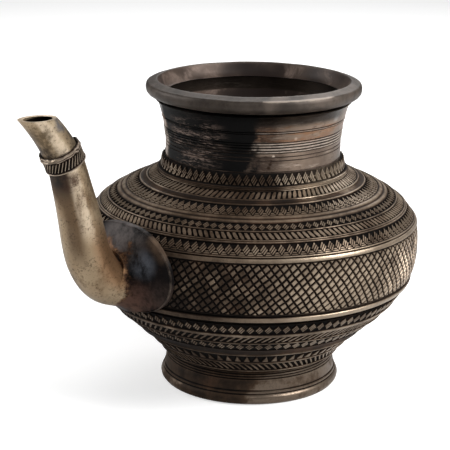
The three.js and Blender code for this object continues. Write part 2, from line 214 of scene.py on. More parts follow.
def turned(outline, steps=TURN_STEPS, closed=True):
    """Spins an outline of (radius, height, wear) rows, in millimetres, round the pot's axis."""
    work = bmesh.new()
    wear = work.verts.layers.float.new("wear")
    corners = []
    for radius, height, rubbed in outline:
        corner = work.verts.new((radius, 0.0, height))
        corner[wear] = rubbed
        corners.append(corner)
    edges = [work.edges.new(pair) for pair in zip(corners, corners[1:])]
    if closed:
        edges.append(work.edges.new((corners[-1], corners[0])))
    bmesh.ops.spin(
        work, geom=corners + edges, cent=(0, 0, 0), axis=(0, 0, 1), dvec=(0, 0, 0),
        angle=math.tau, steps=steps, use_merge=True, use_duplicate=False,
    )
    bmesh.ops.remove_doubles(work, verts=work.verts, dist=0.0004)
    bmesh.ops.recalc_face_normals(work, faces=work.faces)
    return work


def finished(work, name, material, nodes):
    """Turns a bmesh in millimetres into the piece that stands for the named CAD nodes."""
    bmesh.ops.scale(work, vec=(MM, MM, MM), verts=work.verts)
    bmesh.ops.translate(work, vec=(POT_AXIS_X, 0, 0), verts=work.verts)
    mesh = bpy.data.meshes.new(name)
    work.to_mesh(mesh)
    work.free()
    mesh.materials.append(material)
    mesh.shade_smooth()
    mesh.set_sharp_from_angle(angle=math.radians(SHARP_ANGLE))
    piece = bpy.data.objects.new(name, mesh)
    bpy.context.scene.collection.objects.link(piece)
    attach(piece, "root")
    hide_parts(*nodes)
    return piece


FOOT_OUTLINE = [
    (36.6, 0.0, 0.2), (38.4, 0.0, 0.6), (39.8, 0.35, 1.0), (40.7, 1.5, 0.8), (40.95, 2.7, 0.6),
    (40.6, 3.8, 0.7), (40.1, 4.5, 0.9), (39.8, 4.7, 0.1), (39.5, 5.0, 0.0), (39.75, 5.25, 0.8),
    (39.65, 5.9, 0.7), (39.3, 6.15, 0.1), (39.05, 6.45, 0.0), (39.15, 6.85, 0.6), (38.95, 8.0, 0.5),
    (38.75, 9.4, 0.45), (38.6, 10.6, 0.5), (38.5, 11.15, 0.8), (38.15, 11.35, 0.0), (38.1, 11.65, 0.0),
    (38.4, 11.9, 0.9), (38.3, 12.3, 0.8), (37.95, 12.45, 0.0), (37.9, 12.75, 0.0), (38.2, 13.0, 0.9),
    (38.05, 13.4, 0.8), (37.7, 13.55, 0.0), (37.65, 13.85, 0.1), (37.8, 14.1, 0.7), (37.5, 14.8, 0.5),
    (37.25, 15.2, 0.1), (37.5, 15.5, 0.8), (37.45, 16.0, 0.9), (37.1, 16.35, 0.3), (34.8, 16.35, 0.2),
    (35.0, 12.0, 0.2), (36.6, 5.2, 0.2),
]
foot = turned(FOOT_OUTLINE)
FOOT_RUBBED = [
    (toward(103, 41, 1), 0.010, 0.6),
    (toward(140, 40, 6), 0.022, 0.5),
    (toward(20, 40, 5), 0.020, 0.4),
]
foot_brass = patina("foot_brass", worn=(0.13, 0.092, 0.064), bare=(0.165, 0.126, 0.095), wear_from=0.65,
                    wear_to=1.25, rubbed=FOOT_RUBBED, mottle=1.7)
finished(foot, "foot_ring_turned", foot_brass, ["foot_ring"])


# Lower bowl: the lower half of the body, cast thin, with a dished bottom inside
# the foot. Rows of slanting strokes, teeth and striated lozenges are cut in its
# outside. Dark brown patina, with black in the cuts.
WAIST_LEVEL = 15.0
BELLY_LEVEL = 66.0
SHOULDER_LEVEL = 99.0
WAIST_RADIUS = 40.4
BELLY_RADIUS = 75.4
SHOULDER_RADIUS = 41.8
BODY_WALL = 2.2


def body_radius(level):
    """The body's outer curve: full at the belly, drawn in to the shoulder above and the waist below."""
    if level >= BELLY_LEVEL:
        share = min(1.0, (level - BELLY_LEVEL) / (SHOULDER_LEVEL - BELLY_LEVEL))
        return SHOULDER_RADIUS + (BELLY_RADIUS - SHOULDER_RADIUS) * (1 - share ** 3.2) ** 1.35
    share = min(1.0, (BELLY_LEVEL - level) / (BELLY_LEVEL - WAIST_LEVEL))
    return WAIST_RADIUS + (BELLY_RADIUS - WAIST_RADIUS) * (1 - share ** 2.3) ** 1.56


def body_slope(level):
    return (body_radius(level + 0.05) - body_radius(level - 0.05)) / 0.1


def on_body(level, proud=0.0):
    """The point of the body's outer curve at a level, moved out square to the curve."""
    slope = body_slope(level)
    length = math.hypot(1.0, slope)
    return body_radius(level) + proud / length, level - proud * slope / length


# Sections of turned bands: shares of the band's width, shares of its height, and wear.
BEAD = [
    (0, 0, 0.1), (0.12, 0.45, 0.5), (0.28, 0.85, 0.9), (0.5, 1.0, 1.0), (0.72, 0.85, 0.9),
    (0.88, 0.45, 0.5),
]
FLAT = [
    (0, 0, 0.1), (0.05, 0.6, 0.8), (0.12, 0.92, 1.0), (0.3, 1.0, 0.95), (0.7, 1.0, 0.95),
    (0.88, 0.92, 1.0), (0.95, 0.6, 0.8),
]
FLOOR = [
    (0, 0, 0.2), (0.03, -1.0, 0.0), (0.2, -1.0, 0.0), (0.4, -1.0, 0.0), (0.6, -1.0, 0.0),
    (0.8, -1.0, 0.0), (0.97, -1.0, 0.0),
]
COVE = [
    (0, 0, 0.6), (0.1, -0.4, 0.3), (0.3, -0.85, 0.3), (0.5, -1.0, 0.35), (0.7, -0.85, 0.35),
    (0.9, -0.4, 0.4),
]


def moulded(bands, on_curve=on_body):
    """Outline of stacked bands, each (low, high, section, height), from the bottom up."""
    outline = []
    for low, high, section, height in bands:
        for share, proud, wear in section:
            outline.append((*on_curve(low + (high - low) * share, proud * height), wear))
    return outline


def inner_wall(levels, wear):
    return [(*on_body(level, -BODY_WALL), wear) for level in levels]


NOISE_SEED = 5
noise.seed_set(NOISE_SEED)


def hand_cut(work, verts, amount, size=2.4, seed=0.0):
    """Nudges corners a little, as tools held by hand do."""
    for corner in verts:
        spot = corner.co / size + Vector((seed, seed * 1.7, -seed))
        corner.co += amount * noise.noise_vector(spot)


def corner_round(work, point, level, angle):
    radius, height = point(level)
    return work.verts.new((radius * math.cos(angle), radius * math.sin(angle), height))


def face_outwards(faces):
    for face in faces:
        face.normal_update()
        middle = face.calc_center_median()
        if face.normal.dot(Vector((middle.x, middle.y, 0))) < 0:
            face.normal_flip()


def repeat_round(work, geometry, count):
    bmesh.ops.spin(
        work, geom=geometry, cent=(0, 0, 0), axis=(0, 0, 1), dvec=(0, 0, 0),
        angle=math.tau * (count - 1) / count, steps=count - 1, use_merge=False, use_duplicate=True,
    )


def cut_row(work, point, low, high, count, shapes, rise, slope, phase=0.0, jitter=0.1, seed=1.0):
    """Cuts one motif and repeats it round the pot. A shape is a polygon of (turn, height) shares:
    turn runs from -0.5 to 0.5 of the pitch, height from 0 at low to 1 at high."""
    wear = work.verts.layers.float["wear"]
    faces = []
    for shape in shapes:
        corners = []
        for turn, share in shape:
            angle = (turn + phase) * math.tau / count
            corners.append(corner_round(work, point, low + (high - low) * share, angle))
        faces.append(work.faces.new(corners))
    face_outwards(faces)
    bmesh.ops.inset_individual(work, faces=faces, thickness=slope, depth=rise, use_even_offset=True)
    for face in faces:
        for corner in face.verts:
            corner[wear] = 1.0
    unit = {corner for face in faces for corner in face.verts}
    unit |= {edge.other_vert(corner) for corner in list(unit) for edge in corner.link_edges}
    geometry = list(unit)
    geometry += list({edge for corner in unit for edge in corner.link_edges})
    geometry += list({face for corner in unit for face in corner.link_faces})
    before = set(work.verts) - unit
    repeat_round(work, geometry, count)
    hand_cut(work, [corner for corner in work.verts if corner not in before], jitter, seed=seed)


def cut_body_rows(work, rows, seed):
    """Cuts rows (depth of the floor, low, high, count, shapes, rise, slope, phase) in the body."""
    for depth, *row in rows:
        cut_row(work, lambda level: on_body(level, -depth), *row, seed=seed)
        seed += 1


STRIPES = 3
STRIPE_GAP = 0.15


def striped_lozenge(width):
    """A lozenge cut into slanting bars, each a polygon of (turn, height) shares."""
    left, low, right, top = (-width, 0.5), (0.0, 0.0), (width, 0.5), (0.0, 1.0)
    shapes = []
    for bar in range(STRIPES):
        near_share, far_share = (bar + STRIPE_GAP) / STRIPES, (bar + 1 - STRIPE_GAP) / STRIPES
        corners = []
        for start, end, share in (
            (left, low, near_share), (left, low, far_share),
            (top, right, far_share), (top, right, near_share),
        ):
            corners.append((start[0] + (end[0] - start[0]) * share, start[1] + (end[1] - start[1]) * share))
        shapes.append(corners)
    return shapes


THIN_RIGHT = [[(-0.8, 0.0), (-0.45, 0.0), (0.35, 0.6), (0.8, 1.0), (0.45, 1.0), (-0.35, 0.4)]]
THIN_LEFT = [[(0.45, 0.0), (0.8, 0.0), (0.35, 0.4), (-0.45, 1.0), (-0.8, 1.0), (-0.35, 0.6)]]
TEETH = [[(-0.37, 0.0), (0.37, 0.0), (0.0, 1.0)]]
BOWL_ROWS = [
    (0.45, 17.2, 20.8, 98, THIN_LEFT, 0.45, 0.1, 0.0),
    (0.55, 22.7, 26.6, 73, TEETH, 0.6, 0.2, 0.0),
    (0.4, 31.8, 35.9, 90, striped_lozenge(0.45), 0.35, 0.06, 0.0),
    (0.55, 37.3, 40.6, 132, THIN_RIGHT, 0.55, 0.12, 0.0),
    (0.6, 42.8, 47.2, 112, striped_lozenge(0.45), 0.6, 0.06, 0.0),
]
BOWL_BANDS = [
    (16.2, 16.9, BEAD, 0.3), (16.9, 21.2, FLOOR, 0.5), (21.2, 22.4, BEAD, 0.4),
    (22.4, 27.2, FLOOR, 0.6), (27.2, 28.1, BEAD, 0.3), (28.1, 31.4, COVE, 0.4),
    (31.4, 36.3, FLOOR, 0.45), (36.3, 37.0, BEAD, 0.35), (37.0, 40.9, FLOOR, 0.6),
    (40.9, 42.3, FLAT, 0.35), (42.3, 48.0, FLOOR, 0.65), (48.0, 49.3, FLOOR, 0.75),
]
BOWL_UNDER = [
    (0.0, 14.2, 0.15), (16.0, 14.3, 0.15), (28.0, 14.7, 0.15), (33.0, 15.6, 0.15), (34.2, 16.7, 0.1),
    (38.0, 16.75, 0.1), (40.2, 16.25, 0.1),
]
BOWL_LIP = [(70.6, 49.3, 0.0), (70.4, 50.6, 0.1), (69.4, 50.6, 0.1)]
BOWL_BOTTOM = [(36.2, 18.9, 0.15), (32.0, 17.6, 0.15), (20.0, 16.4, 0.2), (8.0, 16.05, 0.2), (0.0, 16.0, 0.2)]
bowl_wall = inner_wall((49.3, 46, 42, 38, 34, 30, 26, 23, 20), 0.15)
bowl = turned([*BOWL_UNDER, *moulded(BOWL_BANDS), *BOWL_LIP, *bowl_wall, *BOWL_BOTTOM], closed=False)
cut_body_rows(bowl, BOWL_ROWS, seed=2)
bowl_brass = patina("bowl_brass", wear_from=0.5, wear_to=1.2, turn_darkening=0.28)
finished(bowl, "lower_bowl_carved", bowl_brass, ["lower_bowl"])


# Belly band: the widest part, thin cast brass between two bright rubbed ridges.
# Its face is a trellis: two sets of slanting cuts made by hand, which leave
# small lozenges standing, worn to a pale taupe with black in the cuts.
BELLY_BANDS = [
    (49.3, 49.7, COVE, 0.3), (49.7, 52.0, FLAT, 0.55), (52.0, 52.9, FLOOR, 0.75),
    (52.9, 76.1, FLOOR, 0.7), (76.1, 77.9, FLAT, 0.6), (77.9, 78.25, COVE, 0.4),
    (78.25, 78.9, BEAD, 0.3),
]
TRELLIS_LOW = 53.0
TRELLIS_HIGH = 76.0
TRELLIS_COUNT = 124
TRELLIS_ROWS = 11
TRELLIS_DEPTH = 0.62
TRELLIS_RISE = 0.55
TRELLIS_GROOVE = 0.24
TRELLIS_LEAN = 1.36
belly_wall = inner_wall((76, 72, 68, 64, 60, 56, 52, 49.5), 0.15)
belly = turned([*moulded(BELLY_BANDS), (72.2, 78.9, 0.1), *belly_wall])


def cut_trellis(work, point, low, high, count, rows, rise, groove, lean, seed):
    """Stands rows of lozenges between crossing cuts, each cut wandering a little along its way.
    Lean shifts the upper edge along the band, as a count of lozenges."""
    wear = work.verts.layers.float["wear"]
    half = (high - low) / rows
    older = set(work.verts)
    for row in range(rows + 1):
        middle = low + half * row
        phase = 0.5 * (row % 2)
        corners = []
        for turn, level in ((-0.5, middle), (0.0, middle - half), (0.5, middle), (0.0, middle + half)):
            angle = (turn + phase + lean * (level - low) / (high - low)) * math.tau / count
            corners.append(corner_round(work, point, min(high, max(low, level)), angle))
        if row == 0:
            work.verts.remove(corners.pop(1))
        elif row == rows:
            work.verts.remove(corners.pop(3))
        face = work.faces.new(corners)
        repeat_round(work, [*face.verts, *face.edges, face], count)
    fresh = [corner for corner in work.verts if corner not in older]
    bmesh.ops.remove_doubles(work, verts=fresh, dist=0.02)
    fresh = [corner for corner in work.verts if corner not in older]
    faces = list({face for corner in fresh for face in corner.link_faces})
    face_outwards(faces)
    for corner in fresh:
        side = Vector((-corner.co.y, corner.co.x, 0)).normalized()
        wander = noise.noise(corner.co / 4.0 + Vector((seed, 0, 0)))
        drop = noise.noise(corner.co / 5.0 + Vector((0, seed, 0)))
        corner.co += side * wander * 0.55
        if low + 0.5 < corner.co.z < high - 0.5:
            corner.co.z += drop * 0.45
    for depth in (0.0, rise * 0.8):
        bmesh.ops.inset_individual(work, faces=faces, thickness=groove, depth=depth, use_even_offset=True)
    for face in faces:
        rubbed = 0.72 + 0.4 * noise.noise(face.calc_center_median() / 6.0 + Vector((seed, seed, 0)))
        for corner in face.verts:
            corner[wear] = rubbed
    bevel, lift = groove / 2, rise * 0.2
    bmesh.ops.inset_individual(work, faces=faces, thickness=bevel, depth=lift, use_even_offset=True)
    for face in faces:
        for corner in face.verts:
            corner[wear] = corner[wear] + 0.15


cut_trellis(belly, lambda level: on_body(level, -TRELLIS_DEPTH), TRELLIS_LOW, TRELLIS_HIGH, TRELLIS_COUNT,
            TRELLIS_ROWS, TRELLIS_RISE, TRELLIS_GROOVE, TRELLIS_LEAN, seed=9.3)
belly_brass = patina("belly_brass", worn=(0.21, 0.157, 0.112), wear_from=0.38, wear_to=1.0,
                     rubbed=[(toward(128, 75, 64), 0.04, 0.25)], turn_darkening=0.5, mottle=0.7)
finished(belly, "belly_band_trellised", belly_brass, ["belly_band"])


# Shoulder: the dome and its upright collar, cast in one and soldered on the
# belly's ridge. Rings of striated lozenges, ropes and hatched zigzags are cut
# between turned beads. Brown patina, paler where hands and cloths rub it.
SHOULDER_BANDS = [
    (79.0, 83.3, FLOOR, 0.6), (83.3, 83.9, BEAD, 0.35), (83.9, 84.5, BEAD, 0.35),
    (84.5, 86.9, FLOOR, 0.5), (86.9, 87.35, BEAD, 0.3), (87.35, 89.5, FLOOR, 0.5),
    (89.5, 90.6, BEAD, 0.25), (90.6, 91.7, BEAD, 0.25), (91.7, 94.4, FLOOR, 0.5),
    (94.4, 94.8, BEAD, 0.3), (94.8, 95.7, COVE, 0.2), (95.7, 96.1, BEAD, 0.3),
    (96.1, 98.3, FLOOR, 0.45), (98.3, 98.6, BEAD, 0.25),
]
ROPE_RIGHT = [[(-0.62, 0.0), (-0.1, 0.0), (0.38, 0.5), (0.62, 1.0), (0.1, 1.0), (-0.38, 0.5)]]
ROPE_LEFT = [[(0.1, 0.0), (0.62, 0.0), (0.38, 0.5), (-0.1, 1.0), (-0.62, 1.0), (-0.38, 0.5)]]
HATCHED_GAP = [
    [(-0.4, 0.0), (0.4, 0.0), (0.3, 0.13), (-0.3, 0.13)],
    [(-0.27, 0.18), (0.27, 0.18), (0.17, 0.31), (-0.17, 0.31)],
]
SHOULDER_ROWS = [
    (0.55, 79.15, 83.15, 124, striped_lozenge(0.47), 0.6, 0.06, 0.0),
    (0.55, 79.15, 83.15, 124, HATCHED_GAP, 0.35, 0.05, 0.5),
    (0.45, 84.6, 86.8, 170, ROPE_LEFT, 0.5, 0.12, 0.0),
    (0.45, 87.45, 89.4, 118, striped_lozenge(0.47), 0.45, 0.06, 0.0),
    (0.45, 91.8, 94.3, 104, striped_lozenge(0.47), 0.45, 0.06, 0.0),
    (0.45, 91.8, 94.3, 104, HATCHED_GAP, 0.3, 0.05, 0.5),
    (0.4, 96.2, 98.2, 120, ROPE_RIGHT, 0.4, 0.12, 0.0),
]
COLLAR_OUTLINE = [
    (42.9, 98.9, 0.5), (43.1, 99.3, 0.9), (42.7, 99.6, 0.2), (42.8, 99.9, 0.8), (42.2, 100.2, 0.1),
    (41.0, 100.4, 0.0), (40.6, 102.5, 0.0), (40.1, 105.2, 0.0), (39.9, 105.5, 0.1), (39.5, 105.5, 0.0),
    (39.5, 100.9, 0.1), (37.3, 100.8, 0.1),
]
COLLAR_LOW = 100.4
COLLAR_HIGH = 105.4
COLLAR_RADIUS = 41.07
COLLAR_TAPER = 0.2
COLLAR_COUNT = 77
COLLAR_FOOT = [[(-0.3, 0.0), (0.3, 0.0), (0.0, 1.0)]]


def on_collar(level):
    return COLLAR_RADIUS - COLLAR_TAPER * (level - COLLAR_LOW), level


shoulder_wall = inner_wall((97.6, 96, 94, 91, 88, 85, 82), 0.1)
shoulder = turned([*moulded(SHOULDER_BANDS), *COLLAR_OUTLINE, *shoulder_wall, (71.5, 79.2, 0.1)])
cut_body_rows(shoulder, SHOULDER_ROWS, seed=11)
cut_row(shoulder, on_collar, COLLAR_LOW, COLLAR_HIGH, COLLAR_COUNT, striped_lozenge(0.46), 0.65, 0.07, seed=18)
cut_row(shoulder, on_collar, COLLAR_LOW, 102.3, COLLAR_COUNT, COLLAR_FOOT, 0.3, 0.2, phase=0.5, seed=19)
shoulder_brass = patina("shoulder_brass", wear_from=0.53, wear_to=1.22, turn_darkening=0.28, darker_turns=(50.0, 112.0, 22.0),
                        rubbed=[(toward(122, 41, 103), 0.011, 0.8), (toward(150, 41, 103), 0.011, 0.8)])
finished(shoulder, "shoulder_carved", shoulder_brass, ["shoulder"])


# Neck tube: tall and turned, set in the collar, with groups of fine grooves. Its
# top turns out in a thin flange under the rim. Half of it is black with soot
# from lamps and incense, and the other half is bare warm brass.
NECK_RADIUS = 39.2
NECK_FLARE = 3.1
FLARE_LEVEL = 112.0
NECK_TOP = 129.0


def on_neck(level, proud=0.0):
    """The neck's outer curve: straight at first, then flaring to the rim."""
    share = max(0.0, (level - FLARE_LEVEL) / (NECK_TOP - FLARE_LEVEL))
    return NECK_RADIUS + NECK_FLARE * share ** 1.6 + proud, level


GROOVE = [(0, 0, 0.5), (0.3, -1.0, 0.0), (0.7, -1.0, 0.0)]
PLAIN = [(0, 0, 0.6), (0.33, 0, 0.6), (0.67, 0, 0.6)]
NECK_LINES = (105.6, 110.5, 112.1, 113.9, 115.0, 116.3, 117.5, 118.6, 122.6, 123.4, NECK_TOP)
GROOVE_WIDTH = 0.45
GROOVE_DEPTH = 0.4
NARROW_BAND = 1.4
neck_bands = [(101.1, NECK_LINES[0], PLAIN, 0)]
for low, high in zip(NECK_LINES, NECK_LINES[1:]):
    section = FLAT if high - low < NARROW_BAND else PLAIN
    neck_bands += [(low, low + GROOVE_WIDTH, GROOVE, GROOVE_DEPTH), (low + GROOVE_WIDTH, high, section, 0.2)]
NECK_FLANGE = [
    (42.4, 129.0, 0.5), (43.1, 130.0, 0.6), (43.7, 130.5, 1.0), (43.4, 130.8, 0.4), (41.3, 131.0, 0.1),
    (41.2, 132.8, 0.1), (39.3, 132.8, 0.2), (39.2, 128.0, 0.3), (37.9, 121.0, 0.3), (37.2, 113.0, 0.3),
    (37.2, 101.1, 0.3),
]
neck = turned([*moulded(neck_bands, on_neck), *NECK_FLANGE])
hand_cut(neck, neck.verts, amount=0.07, size=9.0, seed=21)


def inner_colour(paint, place):
    """The pot's inside: mottled dark brown with pinkish patches."""
    mottle = paint.speckle(place, 75.0, 5.0, 0.7, 0.5)
    broad = paint.speckle(place, 34.0, 2.0)
    dark = paint.blend(broad.step(0.35, 0.65), (0.018, 0.012, 0.010), (0.075, 0.052, 0.04))
    return paint.blend((mottle * 0.7 + broad * 0.5).step(0.6, 0.8), dark, (0.19, 0.14, 0.115))


DARK_MARK = (0.03, 0.018, 0.012)
NECK_MARKS = [
    (toward(103, 39.4, 112.8), 0.0006, (0.45, 0.37, 0.3)),
    (toward(101.5, 39.4, 110.8), 0.0007, DARK_MARK),
    (toward(101, 39.4, 109.4), 0.0007, DARK_MARK),
    (toward(100, 39.4, 107.8), 0.0008, DARK_MARK),
    (toward(117, 39.6, 120.3), 0.0008, (0.42, 0.33, 0.26)),
    (toward(150, 40.5, 127.5), 0.0024, (0.42, 0.38, 0.35)),
]


def neck_paint():
    paint = Paint("neck_brass")
    place = paint.place()
    turn, level = paint.turn(place), paint.part(place, "Z") * 1000.0
    lines = paint.node("ShaderNodeMapping", {}, {"Vector": place, "Scale": (1.0, 1.0, 6.0)})
    streak = paint.speckle(lines, 70.0, 5.0, 0.65)
    fine = paint.speckle(lines, 420.0, 4.0, 0.7)
    broad = paint.speckle(place, 38.0, 3.0)
    blotch = paint.speckle(place, 150.0, 5.0, 0.7)
    wear = paint.attribute("wear")
    taupe = paint.blend(broad.step(0.35, 0.65), (0.11, 0.081, 0.062), (0.25, 0.187, 0.143))
    orange = paint.window(level + (blotch - 0.5) * 6.0, 118.5, 125.5, 1.0) * streak.step(0.42, 0.6)
    colour = paint.blend(orange * 0.85, taupe, (0.24, 0.115, 0.055))
    colour = paint.blend(streak.step(0.55, 0.72) * 0.6, colour, (0.48, 0.39, 0.32))
    colour = paint.blend((blotch * 0.6 + fine * 0.6).step(0.62, 0.78) * 0.7, colour, (0.07, 0.045, 0.032))
    edge = turn + (broad - 0.5) * 34.0 + (blotch - 0.5) * 34.0
    soot = paint.window(edge, 19.0, 92.0, 3.5)
    scuffed = paint.near(place, toward(50, 39, 118.0), 0.0135, 0.006)
    scuffed = scuffed * (streak * 0.6 + fine * 0.7).step(0.62, 0.8)
    sooty = paint.blend(scuffed * 0.85, SOOT_AND_SHADE, (0.24, 0.175, 0.145))
    browned = paint.window(turn + (blotch - 0.5) * 20.0, 60.0, 108.0, 7.0)
    browned = browned * (streak * 0.5 + fine * 0.5).step(0.35, 0.55)
    colour = paint.blend(browned * 0.85, colour, (0.035, 0.022, 0.017))
    # Painted highlights: pale lines along the raised edges of the bands between the grooves.
    colour = paint.blend(wear.step(0.8, 1.0) * (fine + 0.2).step(0.5, 0.8) * 0.7, colour, (0.55, 0.47, 0.4))
    for spot, reach, tint in NECK_MARKS:
        colour = paint.blend(paint.near(place, spot, reach, reach * 0.5), colour, tint)
    colour = paint.blend(soot, colour, sooty)
    # Painted shade under the rim: the neck's top band is blacked where the rim overhangs it, except at the far
    # right.
    under_rim_shade = level.step(124.5, 127.5) * (1.0 - turn.step(150.0, 165.0))
    colour = paint.blend(under_rim_shade * 0.85, colour, SOOT_AND_SHADE)
    colour = paint.blend(1.0 - wear.step(0.0, 0.35), colour, SOOT_AND_SHADE)
    inner = 1.0 - paint.reach(place).step(39.0, 39.15) * level.step(0.0, 1.0)
    colour = paint.blend(inner, colour, inner_colour(paint, place))
    clean = (1.0 - soot) * (1.0 - inner)
    paint.set(Base_Color=colour, Roughness=0.62 - clean * 0.24 + (blotch - 0.5) * 0.2, Metallic=clean * 0.75,
              Normal=paint.bump(blotch + fine * 0.5), Specular_IOR_Level=0.1)
    return paint.material


finished(neck, "neck_tube_turned", neck_paint(), ["neck_tube"])


# Rim ring: the heavy mouth ring, cast and turned, soldered over the neck's end.
# Its top has a bevelled face with a rounded edge that is rubbed pale in places,
# and paler over the front right, where a highlight is painted; the rest is grey-black.
RIM_OUTLINE = [
    (41.6, 131.4, 0.0), (41.9, 131.5, 0.1), (44.0, 131.9, 0.1), (45.8, 132.5, 0.2), (47.0, 133.3, 0.6),
    (47.8, 134.3, 0.5), (48.05, 135.4, 0.45), (48.05, 136.4, 0.45), (47.8, 137.3, 0.55),
    (47.45, 137.8, 0.9), (47.1, 138.05, 1.0), (46.6, 138.2, 0.75), (45.4, 138.6, 0.5),
    (44.4, 138.95, 0.5), (43.7, 139.2, 0.6), (43.2, 139.3, 0.8), (42.8, 139.05, 0.5),
    (42.3, 138.0, 0.3), (41.6, 136.0, 0.3), (40.6, 134.0, 0.3), (39.3, 133.1, 0.3), (41.6, 133.1, 0.1),
]
rim = turned(RIM_OUTLINE)
hand_cut(rim, rim.verts, amount=0.12, size=11.0, seed=22)


def rim_paint():
    paint = Paint("rim_brass")
    place = paint.place()
    turn = paint.turn(place)
    broad = paint.speckle(place, 45.0, 3.0, 0.6, 0.6)
    blotch = paint.speckle(place, 170.0, 5.0, 0.7)
    grain = paint.speckle(place, 900.0, 3.0, 0.7)
    wear = paint.attribute("wear")
    pale = (broad * 0.7 + blotch * 0.5).step(0.48, 0.72)
    grey = paint.blend(pale, (0.045, 0.035, 0.028), (0.1, 0.078, 0.063))
    # The rounded edge is paler over the front right: partly wear, partly a painted highlight.
    rubbed = paint.window(turn + (broad - 0.5) * 30.0, 96.0, 136.0, 8.0) * wear.step(0.6, 0.95)
    share = wear * 0.5 + (blotch - 0.5) * 1.2 + rubbed * 0.6
    colour = paint.blend(share.step(0.55, 0.95) * 0.8, grey, (0.40, 0.335, 0.28))
    black = paint.window(turn + (broad - 0.5) * 40.0, 35.0, 100.0, 8.0) * 0.4
    colour = paint.blend(black * (1.0 - rubbed), colour, SOOT_AND_SHADE)
    inner = 1.0 - paint.reach(place).step(42.3, 43.1)
    colour = paint.blend(inner, colour, inner_colour(paint, place))
    paint.set(Base_Color=colour, Roughness=0.5 - share * 0.1 + (grain - 0.5) * 0.2, Metallic=0.3,
              Normal=paint.bump(blotch + grain * 0.4), Specular_IOR_Level=0.2)
    return paint.material


finished(rim, "rim_ring_turned", rim_paint(), ["rim_ring"])


# Spout flange: a saddle plate that sits on the belly band and swells into a
# short sleeve round the spout's root. Cast brass, soldered on all round, with a
# thin raised line along its edge. Black and a little shiny, as hands miss it.
FLANGE_SIDES = 80
SLEEVE_END = 0.157
SLEEVE_RADIUS = 10.45
FILLET = 6.5
PLATE_HALF_WIDTH = 30.2
PLATE_HALF_HEIGHT = 18.8
PLATE_SQUARENESS = 2.2
ROOT_RADIUS = 10.4
ROOT_LEVEL = 59.4
PLATE_FACE = 1.9  # how far the plate's outside stands proud of the body
PLATE_BACK = 0.7
PROBE = 0.02

# Points of the spout's middle: millimetres out from the belly's face, and up from its widest level.
SPOUT_LINE = [
    (-9, -8), (-0.9, -6.3), (6.1, -4.1), (11.8, 0.5), (16.6, 9.6), (20, 23.9), (23.6, 38.1),
    (27.5, 50.9), (33.8, 61.8), (41.9, 71.7), (48.4, 77.6),
]
SPOUT_STEPS = 24


def spout_samples():
    """Closely spaced points on a smooth curve through the line's points, with their run from the root."""
    knots = [Vector((-(BELLY_RADIUS + out), 0.0, BELLY_LEVEL + up)) for out, up in SPOUT_LINE]
    knots = [2 * knots[0] - knots[1], *knots, 2 * knots[-1] - knots[-2]]
    samples = []
    for before, start, end, after in zip(knots, knots[1:], knots[2:], knots[3:]):
        for step in range(SPOUT_STEPS):
            t = step / SPOUT_STEPS
            samples.append(0.5 * (
                2 * start + (end - before) * t + (2 * before - 5 * start + 4 * end - after) * t ** 2
                + (3 * start - before - 3 * end + after) * t ** 3
            ))
    samples.append(knots[-2])
    runs = [0.0]
    for one, other in zip(samples, samples[1:]):
        runs.append(runs[-1] + (other - one).length)
    return samples, runs


SAMPLES, RUNS = spout_samples()


def on_spout(share):
    """Place and direction of the spout's middle at a share of its run."""
    run = share * RUNS[-1]
    index = next((i for i, value in enumerate(RUNS) if value >= run), len(RUNS) - 1)
    index = max(1, index)
    along = (run - RUNS[index - 1]) / (RUNS[index] - RUNS[index - 1])
    place = SAMPLES[index - 1].lerp(SAMPLES[index], along)
    low, high = max(0, index - 4), min(len(SAMPLES) - 1, index + 3)
    return place, (SAMPLES[high] - SAMPLES[low]).normalized()


def ring_at(share, radius, sides, lean=0.0):
    """Points round the spout. Lean turns the ring's plane from square across the tube (0) to level (1)."""
    place, ahead = on_spout(share)
    facing = ahead.lerp(Vector((0, 0, 1)), lean).normalized()
    across = Vector((facing.z, 0, -facing.x))
    stretch = 1 / max(0.3, facing.dot(ahead))
    points = []
    for side in range(sides):
        angle = math.tau * side / sides
        sideways = Vector((0, radius * math.sin(angle), 0))
        points.append(place + across * (radius * stretch * math.cos(angle)) + sideways)
    return points


def skin(rings, wears):
    """Joins rings of points into one closed skin, each with its wear. The attribute named side runs
    from -1 at the photograph's left to 1 at its right."""
    work = bmesh.new()
    wear = work.verts.layers.float.new("wear")
    side = work.verts.layers.float.new("side")
    loops = []
    for points, rubbed in zip(rings, wears):
        made = bmesh.ops.create_circle(work, cap_ends=False, segments=len(points), radius=1.0)["verts"]
        for index, (corner, point) in enumerate(zip(made, points)):
            corner.co = point
            corner[wear] = rubbed
            corner[side] = math.cos(math.tau * index / len(points) + math.radians(180.0 - VIEW_START))
        loops.append({edge for corner in made for edge in corner.link_edges})
    for one, other in zip(loops, loops[1:]):
        bmesh.ops.bridge_loops(work, edges=list(one | other))
    bmesh.ops.bridge_loops(work, edges=list(loops[-1] | loops[0]))
    bmesh.ops.recalc_face_normals(work, faces=work.faces)
    return work


sleeve_samples = [place for place, run in zip(SAMPLES, RUNS) if run < SLEEVE_END * RUNS[-1] + 4.0]


def rounded(value):
    return math.copysign(abs(value) ** (2 / PLATE_SQUARENESS), value)


def on_saddle(across, level, proud):
    """A point over the belly's face, by its distance to the side and its level."""
    radius = body_radius(level) + proud * math.hypot(1.0, body_slope(level))
    return Vector((-math.sqrt(max(0.0, radius ** 2 - across ** 2)), across, level))


def plate_ring(share, proud):
    """A ring on the plate: share 1 is its edge, and 0 the tube's footprint."""
    points = []
    for side in range(FLANGE_SIDES):
        angle = math.tau * side / FLANGE_SIDES
        edge = (PLATE_HALF_WIDTH * rounded(math.sin(angle)),
                BELLY_LEVEL + PLATE_HALF_HEIGHT * rounded(math.cos(angle)))
        root = (ROOT_RADIUS * math.sin(angle), ROOT_LEVEL + ROOT_RADIUS * math.cos(angle))
        across, level = (root[0] + (edge[0] - root[0]) * share, root[1] + (edge[1] - root[1]) * share)
        points.append(on_saddle(across, level, proud))
    return points


